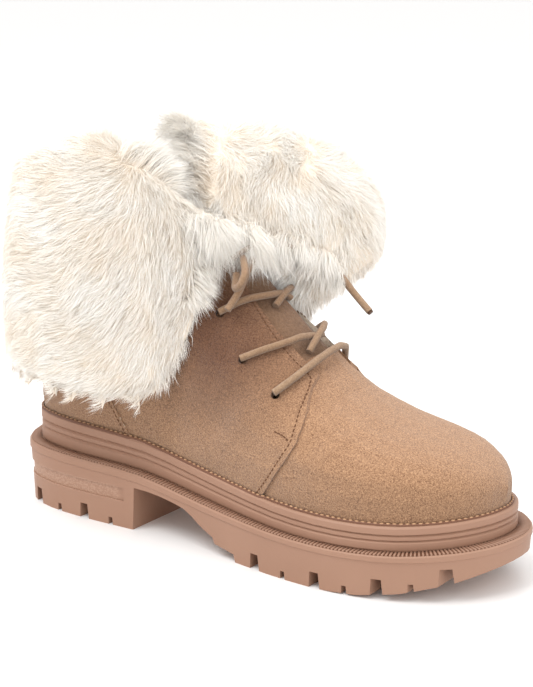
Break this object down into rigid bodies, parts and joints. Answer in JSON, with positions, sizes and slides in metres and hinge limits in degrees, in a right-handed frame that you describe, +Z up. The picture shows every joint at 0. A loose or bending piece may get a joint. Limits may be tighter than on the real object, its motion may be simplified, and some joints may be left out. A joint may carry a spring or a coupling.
{
  "type": "sheepskin boot",
  "caption": "Ankle boot for a right foot with a hollow suede upper, open lacing, deep fur cuff folded down outside and a thick lug sole.",
  "frame": {"origin": "on the floor under the middle of the heel", "axes": "+X towards the toe, +Y towards the wearer's left (the inner side), +Z up"},
  "size_m": [0.2958, 0.1796, 0.2009],
  "materials": {
    "rubber": "matt",
    "foam": "matt",
    "insole_felt": "soft",
    "suede": "suede",
    "tongue_suede": "suede",
    "fur": "deep pile",
    "lace": "suede cord"
  },
  "bodies": {
    "root": {"outsole": "rubber", "midsole": "foam", "insole": "insole_felt", "upper": "suede", "tongue": "tongue_suede", "cuff": "fur", "lace_bar": "lace", "lace_low_crossing": "lace", "lace_high_crossing": "lace", "lace_knot": "lace", "lace_loop": "lace", "lace_end_near": "lace", "lace_end_far": "lace"}
  },
  "joints": []
}
